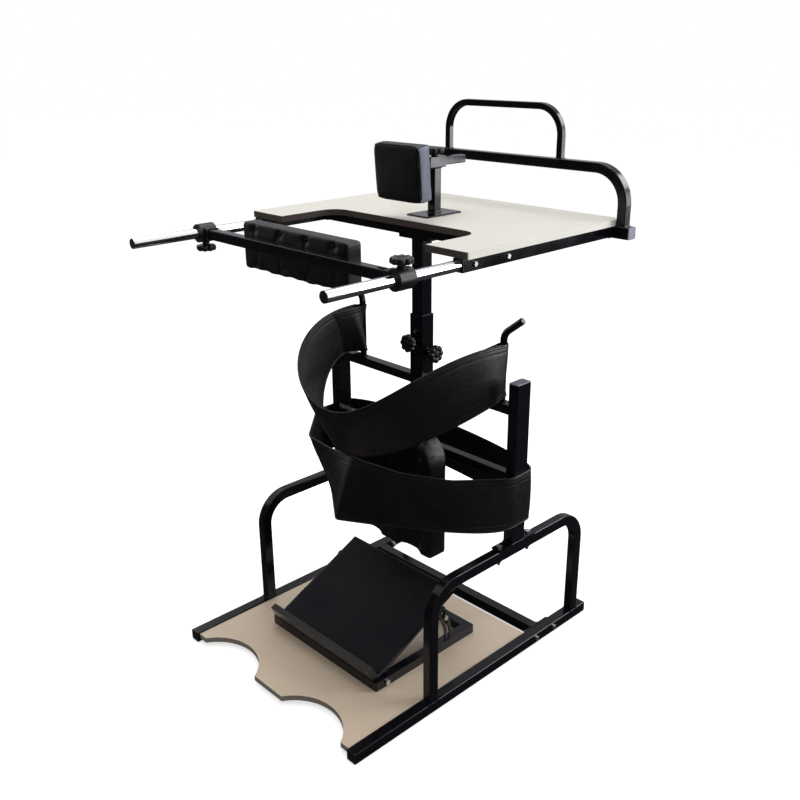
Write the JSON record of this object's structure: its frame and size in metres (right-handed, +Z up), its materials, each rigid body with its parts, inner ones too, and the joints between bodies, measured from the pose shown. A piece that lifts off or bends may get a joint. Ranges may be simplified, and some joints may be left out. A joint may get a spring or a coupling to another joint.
{
  "type": "rehabilitation standing frame",
  "caption": "Steel standing frame with a height-adjustable cut-out table, sliding back and chest supports, hip sling, knee support, footplate and handrail",
  "frame": {"origin": "on the floor, in the middle of the outline seen from above", "axes": "+Z up; +Y the way the user faces, from the open back to the handrail; +X to the user's right"},
  "size_m": [0.848, 0.952, 1.433],
  "materials": {
    "black_paint": "gloss black powder coat",
    "chrome": "polished chrome",
    "bolt_steel": "zinc plated",
    "black_plastic": "satin moulded",
    "pale_plastic": "satin moulded",
    "beige_board": "satin melamine with grey-brown edge",
    "black_leather": "soft grained, piped and stitched",
    "black_rubber": "matt, studded"
  },
  "bodies": {
    "base": {"base_rail_left": "black_paint", "base_rail_right": "black_paint", "board_bearers": "black_paint", "column_bolt": "bolt_steel", "column_bush": "black_plastic", "column_outer": "black_paint", "cross_rail": "black_paint", "footplate_base": "black_paint", "footplate_hinge_bolts": "bolt_steel", "frame_bolts": "bolt_steel", "knee_crossbar": "black_paint", "post_caps": "pale_plastic", "post_left": "black_paint", "post_right": "black_paint", "rail_end_caps": "black_plastic", "side_hoop_left": "black_paint", "side_hoop_right": "black_paint", "sling_hook_left": "black_paint", "sling_hook_right": "black_paint", "standing_board": "beige_board", "upper_crossbar_left": "black_paint", "upper_crossbar_right": "black_paint"},
    "table": {"column_inner": "black_paint", "column_head_plate": "black_paint", "table_side_rail_right": "black_paint", "table_side_rail_left": "black_paint", "table_cross_tube_rear": "black_paint", "table_cross_tube_front": "black_paint", "table_front_rail": "black_paint", "front_rail_caps": "pale_plastic", "table_rail_bolts": "bolt_steel", "table_rail_bushes": "black_plastic", "table_board": "beige_board", "support_tube_right": "chrome", "support_tube_left": "chrome", "support_tube_plugs": "black_plastic", "handrail": "black_paint", "handrail_hoop": "black_paint", "chest_base_plate": "black_paint", "chest_post": "black_paint"},
    "back_support": {"back_sleeve_right": "black_plastic", "back_sleeve_left": "black_plastic", "back_bar": "black_paint", "back_pad": "black_leather"},
    "chest_support": {"chest_bar": "black_paint", "chest_pad": "black_leather"},
    "knee_support": {"knee_bar": "black_paint", "knee_pad": "black_leather"},
    "footplate_tilt": {"footplate": "black_paint", "footplate_mat": "black_rubber", "footplate_lock_bolts": "bolt_steel"},
    "sling": {"hip_sling": "black_leather"},
    "strap": {"knee_strap": "black_leather"},
    "front_clamp": {"column_knob_front": "black_plastic"},
    "side_clamp": {"column_knob_side": "black_plastic"},
    "right_clamp": {"back_knob_right": "black_plastic"},
    "left_clamp": {"back_knob_left": "black_plastic"},
    "chest_clamp": {"chest_knob": "black_plastic"},
    "knee_clamp": {"knee_knob": "black_plastic"}
  },
  "joints": [
    {"name": "table_height", "type": "slide", "parent": "base", "child": "table", "axis": [0, 0, 1], "range_m": [-0.09, 0.13]},
    {"name": "back_slide", "type": "slide", "parent": "table", "child": "back_support", "axis": [0, 1, 0], "range_m": [-0.17, 0.13]},
    {"name": "chest_slide", "type": "slide", "parent": "table", "child": "chest_support", "axis": [0, 1, 0], "range_m": [-0.06, 0.055]},
    {"name": "knee_slide", "type": "slide", "parent": "base", "child": "knee_support", "axis": [0, 1, 0], "range_m": [-0.035, 0.02]},
    {"name": "footplate_hinge", "type": "hinge", "parent": "base", "child": "footplate_tilt", "pos_m": [0, -0.2, 0.0385], "axis": [1, 0, 0], "range_deg": [-15, 5]},
    {"name": "sling_lift", "type": "slide", "parent": "base", "child": "sling", "axis": [0, 0, 1], "range_m": [0, 0.007]},
    {"name": "strap_height", "type": "slide", "parent": "base", "child": "strap", "axis": [0, 0, 1], "range_m": [-0.03, 0.04]},
    {"name": "front_clamp_turn", "type": "hinge", "parent": "base", "child": "front_clamp", "pos_m": [0, 0.097, 0.839], "axis": [0, -1, 0], "range_deg": [0, 360]},
    {"name": "side_clamp_turn", "type": "hinge", "parent": "base", "child": "side_clamp", "pos_m": [0.05, 0.144, 0.809], "axis": [1, 0, 0], "range_deg": [0, 360]},
    {"name": "right_clamp_turn", "type": "hinge", "parent": "back_support", "child": "right_clamp", "pos_m": [0.356, -0.273, 1.165], "axis": [0, 0, 1], "range_deg": [0, 360]},
    {"name": "left_clamp_turn", "type": "hinge", "parent": "back_support", "child": "left_clamp", "pos_m": [-0.356, -0.273, 1.105], "axis": [0, 0, -1], "range_deg": [0, 360]},
    {"name": "chest_clamp_turn", "type": "hinge", "parent": "table", "child": "chest_clamp", "pos_m": [0, 0.189, 1.317], "axis": [0, 0, 1], "range_deg": [0, 360]},
    {"name": "knee_clamp_turn", "type": "hinge", "parent": "base", "child": "knee_clamp", "pos_m": [0, 0.144, 0.49], "axis": [0, 0, -1], "range_deg": [0, 360]}
  ]
}
